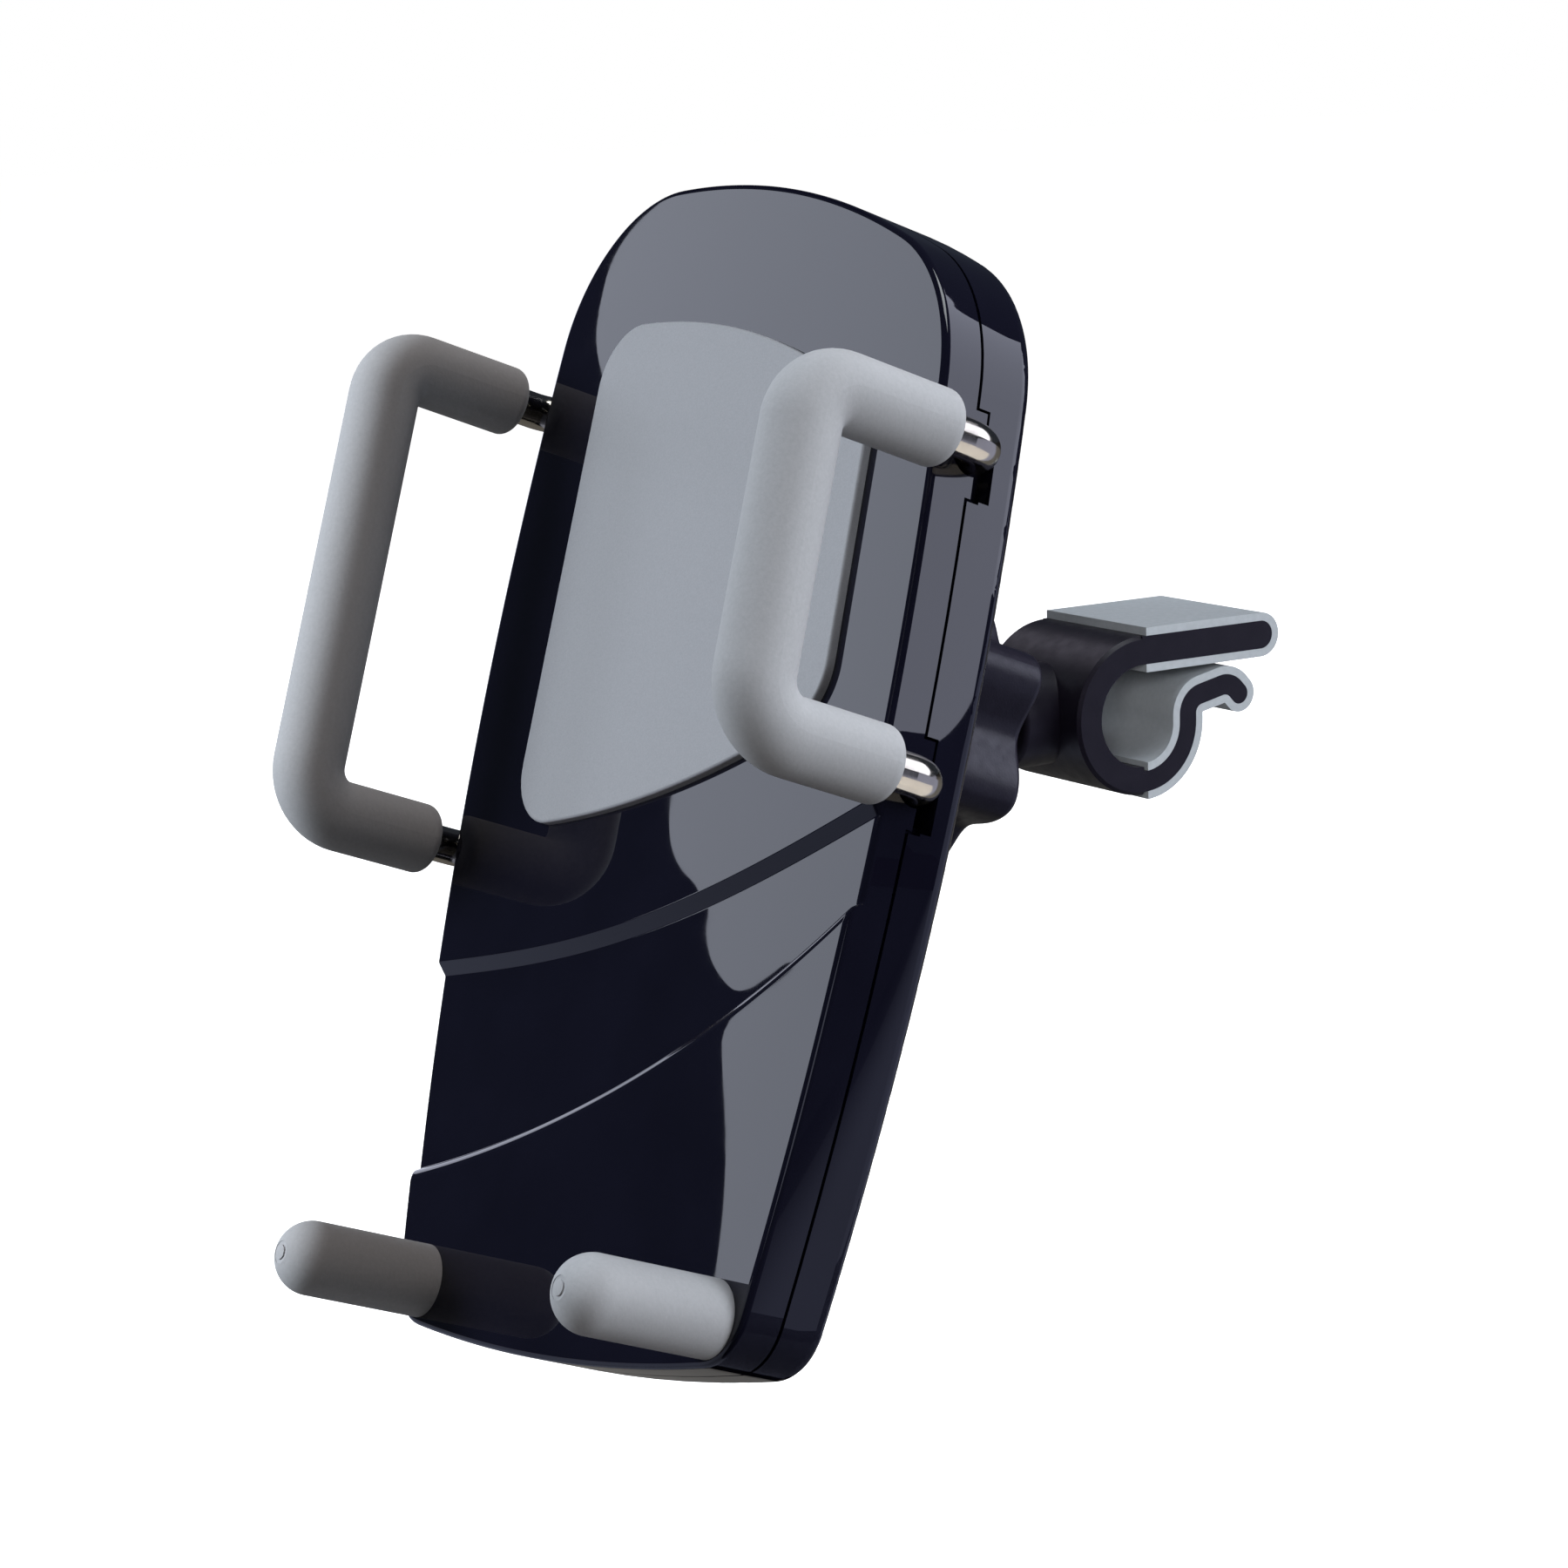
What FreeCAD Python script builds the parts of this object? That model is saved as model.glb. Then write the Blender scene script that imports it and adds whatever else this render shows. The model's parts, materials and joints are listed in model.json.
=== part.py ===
import FreeCAD, Part
import math
import os

# Air vent phone holder: a clip for a vent blade, a ball joint with a lobed
# nut, and a sprung cradle with two bent wire arms and two feet.
# All sizes are in mm. Row frame: +X to the user's right, +Y into the vent,
# +Z up, origin in the mouth of the jaws where the vent blade is held.

V = FreeCAD.Vector

# Where the ball centre stands from the origin, and the cradle's pose on it
ball_y = -28.2
ball_z = -3.8
tilt_back = 21.5
lean = 10.7
# Where the ball centre is, seen from the middle of the cradle's face
ball_behind_face = 27.2
ball_below_centre = 12.6

# Housing outline
half_width = 32.2
side_radius = 275.0
side_apex_z = -15.0
top_z = 32.0
top_apex_x = -20.0
top_radius = 91.0
bottom_z = -73.9
bottom_radius = 190.0
corner_top_left = 15.0
corner_top_right = 17.0
corner_bottom = 5.2
thickness = 9.2
back_slope = 0.0125
parting_y = 3.8
groove = 0.45
groove_depth = 0.8
wall = 1.2
face_edge = 0.5
back_edge = 1.4

# Waves across the face: a valley between two sweeping lines
valley = 0.9
valley_lip = 1.1
wave1_left_z = -40.2
wave1_right_z = -26.0
wave1_rise = (0.0, 0.11, 0.374, 0.779, 1.0)
wave1_band_left = 1.1
wave1_band_right = 1.15
wave2_left_z = -60.4
wave2_right_z = -33.6
wave2_rise = (0.0, 0.162, 0.42, 0.777, 1.0)

# Front pad
pad_raise = 0.8
pad_top_inset = 13.0
pad_left_x = -20.8
pad_right_x = 22.9
pad_left_z = -27.7
pad_right_z = -19.0
pad_sag = 2.4
pad_corner = 5.5
pad_edge = 0.25

# Arms of bent wire with sleeves
rod_d = 3.4
rod_y = 3.9
sleeve_d = 6.5
arm_out = 2.5
arm_reach = 14.9
sleeve_start = 1.3
sleeve_rounding = 1.1
elbow_radius = 3.2
upper_bend = 3.4
lower_bend = 4.2
left_rod_top = 13.5
left_rod_bottom = -28.8
right_rod_top = 2.6
right_rod_bottom = -24.8
travel = 9.0

# Rack and pinion
gear_module = 0.75
gear_teeth = 12
backlash = 0.14
carriage_t = 3.0
carriage_bar = 3.5
carriage_bar_t = 4.6
carriage_x = 14.5
axle_d = 2.0

# Feet
foot_inset = 9.6
foot_rise = 5.2
foot_d = 6.5
foot_length = 14.5
post_d = 3.2

# Ball joint
ball_d = 14.0
neck_d = 6.4
collar_d = 9.4
collar_start = 7.6
boss_base_d = 29.0
boss_top_d = 21.0
boss_hollow = 0.5
tube_d = 16.4
nut_length = 13.0
nut_lip = 3.4
nut_crest_d = 25.2
nut_valley_d = 19.2
nut_lobes = 6
nut_crest_angle = 27.0
joint_gap = 0.12
cup_t = 0.5

# Clip
ring_behind_ball = 18.6
ring_r = 7.3
jaw_t = 2.6
clip_width = 15.2
ring_chamfer = 0.3
jaw_length = 15.0
lower_jaw_t = 1.9
lower_bulge = 5.1
lower_bulge_r = 5.0
hook_start_z = 1.0
hook_y = 10.0
hook_z = 2.0
hook_bend = 1.75
hook_tip_y = 11.1
hook_tip_z = 0.8
strip_t = 0.75
strip_start = 0.45

# Screws
screw_d = 2.0
screw_head_d = 3.8
screw_head_t = 1.4
screw_length = 5.5

# Running clearance of rods, posts and pins
clearance = 0.08


arm_x = half_width + arm_out
foot_x = half_width - foot_inset
foot_z = bottom_z + foot_rise


def box(x0, x1, y0, y1, z0, z1):
    return Part.makeBox(x1 - x0, y1 - y0, z1 - z0, V(x0, y0, z0))


def rod_along_y(x, z, r, y0, y1):
    return Part.makeCylinder(r, y1 - y0, V(x, y0, z), V(0, 1, 0))


def rod_along_x(y, z, r, x0, x1):
    return Part.makeCylinder(r, x1 - x0, V(x0, y, z), V(1, 0, 0))


def circle_crossing(c1, r1, c2, r2, sx, sz):
    # The crossing of two circles that lies furthest towards (sx, sz)
    dx = c2[0] - c1[0]
    dz = c2[1] - c1[1]
    d = math.hypot(dx, dz)
    a = (r1 * r1 - r2 * r2 + d * d) / (2 * d)
    h = math.sqrt(r1 * r1 - a * a)
    mx = c1[0] + a * dx / d
    mz = c1[1] + a * dz / d
    p = (mx + h * dz / d, mz - h * dx / d)
    q = (mx - h * dz / d, mz + h * dx / d)
    if p[0] * sx + p[1] * sz > q[0] * sx + q[1] * sz:
        return p
    return q


def arc_on(c, r, p, q, y):
    ang = math.atan2((p[1] + q[1]) / 2 - c[1], (p[0] + q[0]) / 2 - c[0])
    m = V(c[0] + r * math.cos(ang), y, c[1] + r * math.sin(ang))
    return Part.Arc(V(p[0], y, p[1]), m, V(q[0], y, q[1])).toShape()


def plate(y0, y1, inset):
    # A slab of the housing outline, drawn in by inset
    cl = (side_radius - half_width, side_apex_z)
    cr = (half_width - side_radius, side_apex_z)
    ct = (top_apex_x, top_z - top_radius)
    cb = (0.0, bottom_z + bottom_radius)
    rs = side_radius - inset
    rt = top_radius - inset
    rb = bottom_radius - inset
    tl = circle_crossing(cl, rs, ct, rt, -1, 1)
    tr = circle_crossing(cr, rs, ct, rt, 1, 1)
    bl = circle_crossing(cl, rs, cb, rb, -1, -1)
    br = circle_crossing(cr, rs, cb, rb, 1, -1)
    top = arc_on(ct, rt, tl, tr, y0)
    right = arc_on(cr, rs, tr, br, y0)
    bottom = arc_on(cb, rb, br, bl, y0)
    left = arc_on(cl, rs, bl, tl, y0)
    face = Part.Face(Part.Wire([top, right, bottom, left]))
    solid = face.extrude(V(0, y1 - y0, 0))
    corners = [(tl, corner_top_left), (tr, corner_top_right)]
    corners += [(bl, corner_bottom), (br, corner_bottom)]
    for want, radius in corners:
        for e in solid.Edges:
            a = e.Vertexes[0].Point
            b = e.Vertexes[-1].Point
            upright = abs(a.x - b.x) < 0.001 and abs(a.z - b.z) < 0.001
            if upright and math.hypot(a.x - want[0], a.z - want[1]) < 0.01:
                solid = solid.makeFillet(radius - inset, [e])
                break
    return solid


def rim_edges(solid, y):
    found = []
    for e in solid.Edges:
        b = e.BoundBox
        if abs(b.YMin - y) < 0.001 and abs(b.YMax - y) < 0.001:
            found.append(e)
    return found


def wave_curve(left_z, right_z, shares, y):
    # A gentle S from left to right, level at the left and rising to the right
    rise = right_z - left_z
    x = half_width + 2.0
    points = []
    for u, v in zip((-1.0, -0.4, 0.2, 0.75, 1.0), shares):
        points.append(V(x * u, y, left_z + rise * v))
    curve = Part.BSplineCurve()
    curve.interpolate(points)
    return curve.toShape()


def valley_wire(t, y, lip=0.0):
    band_l = wave1_band_left * t
    band_r = wave1_band_right * t
    upper = wave_curve(wave1_left_z - band_l, wave1_right_z - band_r, wave1_rise, y)
    lower = wave_curve(wave2_left_z - lip, wave2_right_z - lip, wave2_rise, y)
    ul = upper.Vertexes[0].Point
    ur = upper.Vertexes[-1].Point
    ll = lower.Vertexes[0].Point
    lr = lower.Vertexes[-1].Point
    right = Part.LineSegment(ur, lr).toShape()
    left = Part.LineSegment(ll, ul).toShape()
    return Part.Wire([upper, right, lower, left])


def valley_cutter():
    above = 0.5
    top = valley_wire(-above, -above * valley, valley_lip * 2)
    ramp = Part.makeLoft([top, valley_wire(1.0, valley, valley_lip * 2)], True, True)
    # The lower side slopes up to the face over valley_lip
    low = valley_wire(-above, -above * valley, valley_lip * (0.5 + above))
    edge = valley_wire(1.0, valley, -valley_lip / 2)
    ramp = ramp.common(Part.makeLoft([low, edge], True, True))
    deep = Part.Face(valley_wire(1.0, valley, -valley_lip / 2)).extrude(V(0, face_edge + 0.1, 0))
    floor = plate(valley, parting_y, 0)
    floor = floor.makeFillet(face_edge, rim_edges(floor, valley))
    return ramp.fuse(deep).cut(floor)


# Screw places: x, z
screw_places = [(-20.0, 21.0), (21.0, 12.5), (-15.0, -62.0), (15.0, -62.0)]
left_rods = (left_rod_top, left_rod_bottom)
right_rods = (right_rod_top, right_rod_bottom)
inner_back = thickness - wall
seam_front = parting_y - groove / 2
seam_back = parting_y + groove / 2
tongue_half = rod_d / 2 + 2.0
tongue_y = seam_back + 0.9
slot_front = tongue_y - 0.6
slot_back = tongue_y + 1.3


def back_at(z):
    # The back leans a little, thicker towards the top
    return thickness + back_slope * (z + ball_below_centre)


def behind_back(depth):
    # Everything behind the leaning back, moved forward by depth
    slab = box(-80, 80, 0, 20, -100, 100)
    slab.rotate(V(0, 0, 0), V(1, 0, 0), -math.degrees(math.atan(back_slope)))
    slab.translate(V(0, thickness - depth, -ball_below_centre))
    return slab


def back_rim(solid):
    found = []
    for e in solid.Edges:
        ends = [e.valueAt(e.FirstParameter), e.valueAt(e.LastParameter)]
        ends.append(e.valueAt((e.FirstParameter + e.LastParameter) / 2))
        if all(abs(p.y - back_at(p.z)) < 0.001 for p in ends):
            found.append(e)
    return found


def rod_holes(x0, x1):
    r = rod_d / 2 + clearance
    holes = [rod_along_x(rod_y, z, r, -x1, -x0) for z in left_rods]
    holes += [rod_along_x(rod_y, z, r, x0, x1) for z in right_rods]
    return Part.makeCompound(holes)


def tongues(grow):
    # Blocks round the rods where the front shell reaches past the seam
    half = tongue_half + grow
    side = half_width - 4.0
    far = half_width + 1.0
    blocks = [box(-far, -side, 0, tongue_y + grow, z - half, z + half) for z in left_rods]
    blocks += [box(side, far, 0, tongue_y + grow, z - half, z + half) for z in right_rods]
    shape = blocks[0].multiFuse(blocks[1:])
    return shape.cut(plate(-1.0, thickness + 1.0, wall + groove_depth))


def rod_slots():
    # Openings under the rods, between a tongue's end and the rear shell
    side = half_width - wall - groove_depth - 0.3
    far = half_width + 1.0
    low = tongue_half
    slots = [box(-far, -side, slot_front, slot_back, z - low, z) for z in left_rods]
    slots += [box(side, far, slot_front, slot_back, z - low, z) for z in right_rods]
    return Part.makeCompound(slots)


def make_front_shell():
    body = plate(0, seam_front, 0)
    body = body.makeFillet(face_edge, rim_edges(body, 0))
    body = body.cut(valley_cutter())
    lip = plate(wall, seam_back, groove_depth)
    cavity = plate(wall, seam_back + 1.0, wall + groove_depth)
    body = body.fuse(lip).cut(cavity)
    # The valley leaves its own floor, as thick as the wall
    floor = Part.Face(valley_wire(1.0, wall)).extrude(V(0, valley, 0))
    floor = floor.common(plate(wall, wall + valley, wall))
    body = body.fuse(floor)
    blocks = tongues(0).common(plate(seam_front - 1.0, tongue_y, 0))
    body = body.fuse(blocks)
    for x, z in screw_places:
        body = body.fuse(rod_along_y(x, z, screw_d / 2 + 1.2, wall, seam_back))
        body = body.cut(rod_along_y(x, z, screw_d / 2 - 0.1, wall + 0.4, seam_back + 1.0))
    end = rod_y - carriage_t / 2 - 0.1
    body = body.fuse(rod_along_y(0, -ball_below_centre, axle_d / 2 + 1.2, wall, end))
    body = body.cut(rod_along_y(0, -ball_below_centre, axle_d / 2, wall * 0.6, rod_y))
    for side in (-1, 1):
        body = body.fuse(rod_along_y(side * foot_x, foot_z, post_d / 2, -foot_length + 3.5, 0.5))
    body = body.cut(rod_slots())
    return body.cut(rod_holes(half_width - 4.0, half_width + 1.0)).removeSplitter()


def make_boss():
    start = thickness - 0.5
    collar = ball_behind_face + nut_lip - nut_length
    stop = collar - 0.3
    foot = V(boss_base_d / 2, start, 0)
    neck = V(boss_top_d / 2, stop, 0)
    waist = foot * 0.35 + neck * 0.65 - V(boss_hollow, boss_hollow, 0)
    edges = [Part.Arc(foot, waist, neck).toShape(), Part.LineSegment(neck, V(0, stop, 0)).toShape()]
    edges.append(Part.LineSegment(V(0, stop, 0), V(0, start, 0)).toShape())
    edges.append(Part.LineSegment(V(0, start, 0), foot).toShape())
    cone = Part.Face(Part.Wire(edges)).revolve(V(0, 0, 0), V(0, 1, 0), 360)
    end = ball_behind_face - ball_d * 0.3
    tube = rod_along_y(0, 0, tube_d / 2, collar - 1.0, end)
    boss = cone.fuse(tube)
    socket = Part.makeSphere(ball_d / 2 + cup_t + 2 * joint_gap, V(0, ball_behind_face, 0))
    boss = boss.cut(socket)
    boss.translate(V(0, 0, -ball_below_centre))
    return boss


def make_rear_shell():
    body = plate(seam_back, thickness + 2.0, 0).cut(behind_back(0))
    body = body.makeFillet(back_edge, back_rim(body))
    cavity = plate(seam_back - 1.0, thickness + 2.0, wall + groove_depth)
    body = body.cut(cavity.cut(behind_back(wall)))
    body = body.cut(tongues(0.25)).cut(rod_slots())
    body = body.fuse(make_boss())
    # Ribs that carry the carriages from behind
    rib_y = rod_y + carriage_bar_t / 2 + clearance
    rib_in = carriage_x - 5.5
    rib_out = carriage_x + carriage_bar + travel - 0.5
    for z in (left_rod_top, left_rod_bottom):
        body = body.fuse(box(-rib_out, -rib_in, rib_y, back_at(z) - wall + 0.3, z - 0.6, z + 0.6))
    for z in (right_rod_top, right_rod_bottom):
        body = body.fuse(box(rib_in, rib_out, rib_y, back_at(z) - wall + 0.3, z - 0.6, z + 0.6))
    for x, z in screw_places:
        out = back_at(z)
        body = body.fuse(rod_along_y(x, z, screw_head_d / 2 + 1.0, seam_back, out - wall + 0.2))
        body = body.cut(rod_along_y(x, z, screw_d / 2 + 0.15, seam_back - 1.0, out + 1.0))
        sink = out - screw_head_t - 0.3
        body = body.cut(rod_along_y(x, z, screw_head_d / 2 + 0.1, sink, out + 1.0))
    # Hole for the axle and a post for the end of the coiled spring
    body = body.cut(rod_along_y(0, -ball_below_centre, axle_d / 2, rod_y, thickness + 3.0))
    post = box(spring_out + 0.35, spring_out + 1.6, spring_y0, inner_back + 0.2, -0.8, 0.8)
    post.translate(V(0, 0, -ball_below_centre))
    body = body.fuse(post)
    return body.cut(rod_holes(half_width - 4.0, half_width + 1.0)).removeSplitter()


spring_y0 = rod_y + carriage_t / 2 + 0.35
spring_out = 7.0
hub_r = axle_d / 2 + 1.2


def make_spring():
    # A flat strip wound round the pinion's hub
    turns = 3.5
    steps = 70
    t = 0.3
    inner = []
    outer = []
    start = hub_r + 0.12
    for i in range(steps + 1):
        a = 2 * math.pi * turns * (i / steps - 1)
        r = start + (spring_out - start) * i / steps
        inner.append(V(r * math.cos(a), spring_y0, r * math.sin(a) - ball_below_centre))
        outer.append(V((r + t) * math.cos(a), spring_y0, (r + t) * math.sin(a) - ball_below_centre))
    outer.reverse()
    wire = Part.makePolygon(inner + outer + [inner[0]])
    return Part.Face(wire).extrude(V(0, inner_back - 0.25 - spring_y0, 0))


def make_front_pad():
    ct = (top_apex_x, top_z - top_radius)
    r = top_radius - pad_top_inset
    zl = ct[1] + math.sqrt(r * r - (pad_left_x - ct[0]) ** 2)
    zr = ct[1] + math.sqrt(r * r - (pad_right_x - ct[0]) ** 2)
    y = -pad_raise
    top = arc_on(ct, r, (pad_left_x, zl), (pad_right_x, zr), y)
    low = V(0, y, (pad_left_z + pad_right_z) / 2 - pad_sag)
    low_right = V(pad_right_x + 0.6, y, pad_right_z)
    low_left = V(pad_left_x - 0.6, y, pad_left_z)
    bottom = Part.Arc(low_right, low, low_left).toShape()
    right = Part.LineSegment(V(pad_right_x, y, zr), low_right).toShape()
    left = Part.LineSegment(low_left, V(pad_left_x, y, zl)).toShape()
    solid = Part.Face(Part.Wire([top, right, bottom, left])).extrude(V(0, pad_raise, 0))
    upright = []
    for e in solid.Edges:
        b = e.BoundBox
        if b.XMax - b.XMin < 0.001 and b.ZMax - b.ZMin < 0.001:
            upright.append(e)
    solid = solid.makeFillet(pad_corner, upright)
    return solid.makeFillet(pad_edge, rim_edges(solid, y))


def rounded_path(points, radii):
    # Straight runs joined by tangent arcs
    edges = []
    last = points[0]
    for i in range(1, len(points) - 1):
        p = points[i]
        a = (points[i - 1] - p).normalize()
        b = (points[i + 1] - p).normalize()
        half = a.getAngle(b) / 2
        cut = radii[i - 1] / math.tan(half)
        mid = (a + b).normalize() * (radii[i - 1] / math.sin(half) - radii[i - 1])
        start = p + a * cut
        stop = p + b * cut
        if (start - last).Length > 0.0001:
            edges.append(Part.LineSegment(last, start).toShape())
        edges.append(Part.Arc(start, p + mid, stop).toShape())
        last = stop
    edges.append(Part.LineSegment(last, points[-1]).toShape())
    return Part.Wire(edges)


def pipe(path, radius):
    first = path.Edges[0]
    start = first.valueAt(first.FirstParameter)
    along = first.tangentAt(first.FirstParameter)
    section = Part.Wire(Part.makeCircle(radius, start, along))
    return path.makePipeShell([section], True, False)


def make_arm_rod(side, z_up, z_low):
    inner = side * carriage_x
    x = side * arm_x
    p = [V(inner, rod_y, z_up), V(x, rod_y, z_up), V(x, -arm_reach, z_up)]
    p += [V(x, -arm_reach, z_low), V(x, rod_y, z_low), V(inner, rod_y, z_low)]
    return pipe(rounded_path(p, [elbow_radius, upper_bend, lower_bend, elbow_radius]), rod_d / 2)


def make_sleeve(side, z_up, z_low):
    x = side * arm_x
    p = [V(x, -sleeve_start, z_up), V(x, -arm_reach, z_up)]
    p += [V(x, -arm_reach, z_low), V(x, -sleeve_start, z_low)]
    path = rounded_path(p, [upper_bend, lower_bend])
    outer = pipe(path, sleeve_d / 2)
    outer = outer.makeFillet(sleeve_rounding, rim_edges(outer, -sleeve_start))
    longer = [V(q) for q in p]
    longer[0].y = longer[0].y + 1.0
    longer[3].y = longer[3].y + 1.0
    bore = pipe(rounded_path(longer, [upper_bend, lower_bend]), rod_d / 2 + 0.02)
    return outer.cut(bore)


pitch_r = gear_module * gear_teeth / 2
pitch = math.pi * gear_module
addendum = gear_module * 0.65
root_gap = gear_module * 0.3


def make_pinion():
    alpha = math.radians(20)
    base = pitch_r * math.cos(alpha)
    tip = pitch_r + gear_module * 0.85
    root = pitch_r - addendum - root_gap
    inv = math.tan(alpha) - alpha
    half_tooth = (pitch / 2 - backlash) / (2 * pitch_r) + inv
    points = []
    for i in range(gear_teeth):
        centre = math.pi / 2 + 2 * math.pi * i / gear_teeth
        flank = []
        for k in range(4):
            r = base + (tip - base) * k / 3
            roll = math.acos(base / r)
            a = half_tooth - (math.tan(roll) - roll)
            flank.append((r, a))
        profile = [(root, half_tooth)] + flank
        for r, a in profile:
            points.append(V(r * math.cos(centre - a), 0, r * math.sin(centre - a)))
        profile.reverse()
        for r, a in profile:
            points.append(V(r * math.cos(centre + a), 0, r * math.sin(centre + a)))
    wire = Part.makePolygon(points + [points[0]])
    gear = Part.Face(wire).extrude(V(0, carriage_t, 0))
    hub = rod_along_y(0, 0, hub_r, 0, inner_back - 0.25 - rod_y + carriage_t / 2)
    gear = gear.fuse(hub)
    gear = gear.cut(rod_along_y(0, 0, axle_d / 2 + clearance, -1, thickness))
    gear.translate(V(0, rod_y - carriage_t / 2, -ball_below_centre))
    return gear.removeSplitter()


def make_rack(length, up):
    # A rack whose teeth point to -Z (up) or +Z, with a gap centred on x = 0
    slope = math.tan(math.radians(20))
    tip_half = (pitch / 2 - backlash) / 2 - addendum * slope
    depth = addendum + gear_module * 0.85 + root_gap
    root_half = tip_half + depth * slope
    sign = -1 if up else 1
    z_tip = -sign * (pitch_r - addendum)
    z_root = z_tip - sign * depth
    z_back = z_root - sign * 2.2
    points = [V(-length, 0, z_root)]
    count = int((length - root_half) / pitch - 0.5)
    for i in range(-count - 1, count + 1):
        c = (i + 0.5) * pitch
        points.append(V(c - root_half, 0, z_root))
        points.append(V(c - tip_half, 0, z_tip))
        points.append(V(c + tip_half, 0, z_tip))
        points.append(V(c + root_half, 0, z_root))
    points += [V(length, 0, z_root), V(length, 0, z_back), V(-length, 0, z_back)]
    rack = Part.Face(Part.makePolygon(points + [points[0]])).extrude(V(0, carriage_t, 0))
    rack.translate(V(0, rod_y - carriage_t / 2, -ball_below_centre))
    return rack


def make_carriage(side, z_up, z_low):
    x0 = carriage_x
    x1 = carriage_x + carriage_bar
    y0 = rod_y - carriage_t / 2
    half = carriage_bar_t / 2
    bar = box(x0, x1, rod_y - half, rod_y + half, z_low - 2.6, z_up + 2.6)
    if side < 0:
        bar = bar.mirror(V(0, 0, 0), V(1, 0, 0))
    rack = make_rack(travel + 2.8, side < 0)
    b = rack.BoundBox
    zs = b.ZMax - 2.0 if side < 0 else b.ZMin
    link = box(travel + 2.0, x1, y0, y0 + carriage_t, zs, zs + 2.0)
    if side < 0:
        link = link.mirror(V(0, 0, 0), V(1, 0, 0))
    body = bar.fuse(rack).fuse(link)
    for z in (z_up, z_low):
        a = min(side * (x0 - 1), side * (x1 + 1))
        c = max(side * (x0 - 1), side * (x1 + 1))
        body = body.cut(rod_along_x(rod_y, z, rod_d / 2 + 0.01, a, c))
    return body.removeSplitter()


def make_foot(side):
    r = foot_d / 2
    x = side * foot_x
    body = rod_along_y(x, foot_z, r, -foot_length + r, 0)
    tip = Part.makeSphere(r, V(x, -foot_length + r, foot_z))
    body = body.fuse(tip)
    # A moulded ring in the domed tip
    mark = rod_along_y(x, foot_z, 1.0, -foot_length - 1, -foot_length + 0.2)
    mark = mark.cut(rod_along_y(x, foot_z, 0.65, -foot_length - 2, -foot_length + 1))
    bore = rod_along_y(x, foot_z, post_d / 2 + 0.02, -foot_length + 3.4, 1)
    return body.cut(mark).cut(bore).removeSplitter()


def ball_band(r_in, r_out, a0, a1, forward):
    # A spherical band about Y between two angles from the pole
    s = -1 if forward else 1
    a0 = math.radians(a0)
    a1 = math.radians(a1)
    am = (a0 + a1) / 2

    def at(r, a):
        return V(r * math.sin(a), s * r * math.cos(a), 0)

    outer = Part.Arc(at(r_out, a0), at(r_out, am), at(r_out, a1)).toShape()
    inner = Part.Arc(at(r_in, a1), at(r_in, am), at(r_in, a0)).toShape()
    edges = [outer, Part.LineSegment(at(r_out, a1), at(r_in, a1)).toShape(), inner]
    edges.append(Part.LineSegment(at(r_in, a0), at(r_out, a0)).toShape())
    return Part.Face(Part.Wire(edges)).revolve(V(0, 0, 0), V(0, 1, 0), 360)


def make_cup():
    r = ball_d / 2 + joint_gap
    return ball_band(r, r + cup_t, 12.0, 54.0, True)


def make_slip_ring():
    r = ball_d / 2 + joint_gap
    return ball_band(r, r + cup_t, 65.0, 84.0, False)


def make_nut():
    # Lobed grip: six rounded crests with hollows between them
    mean = (nut_crest_d + nut_valley_d) / 4
    wave = (nut_crest_d - nut_valley_d) / 4
    points = []
    steps = nut_lobes * 4
    for i in range(steps):
        a = 2 * math.pi * i / steps
        r = mean + wave * math.cos(nut_lobes * a)
        b = a + math.radians(nut_crest_angle)
        points.append(V(r * math.cos(b), 0, r * math.sin(b)))
    curve = Part.BSplineCurve()
    curve.interpolate(points, PeriodicFlag=True)
    solid = Part.Face(Part.Wire(curve.toShape())).extrude(V(0, nut_length, 0))
    solid = solid.makeFillet(0.8, rim_edges(solid, nut_length))
    solid.translate(V(0, nut_lip - nut_length, 0))
    r = ball_d / 2 + cup_t + 2 * joint_gap
    solid = solid.cut(rod_along_y(0, 0, tube_d / 2 + clearance, -nut_length, 0.4))
    return solid.cut(Part.makeSphere(r, V(0, 0, 0)))


def make_ball_stud():
    ball = Part.makeSphere(ball_d / 2, V(0, 0, 0))
    ball = ball.cut(box(-ball_d, ball_d, -ball_d, -ball_d / 2 * 0.93, -ball_d, ball_d))
    neck = rod_along_y(0, 0, neck_d / 2, 0, collar_start + 0.5)
    collar = rod_along_y(0, 0, collar_d / 2, collar_start, ring_behind_ball)
    collar = collar.makeFillet(0.5, rim_edges(collar, collar_start))
    collar = collar.cut(rod_along_x(ring_behind_ball, 0, ring_r, -clip_width, clip_width))
    spigot = rod_along_y(0, 0, 2.2, collar_start + 1.0, ring_behind_ball - ring_r + jaw_t * 0.6)
    stud = ball.fuse(neck).fuse(collar).fuse(spigot)
    return stud.cut(rod_along_y(0, 0, screw_d / 2 - 0.1, collar_start, ring_behind_ball))


def make_stud_screw():
    y = ring_behind_ball - ring_r + jaw_t
    head = rod_along_y(0, 0, screw_head_d / 2, y - 0.7, y + 0.4)
    shank = rod_along_y(0, 0, screw_d / 2 - 0.1, y - screw_length, y - 0.6)
    slot = box(-0.3, 0.3, y - 0.1, y + 1, -2, 2)
    return head.fuse(shank).cut(slot)


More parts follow.
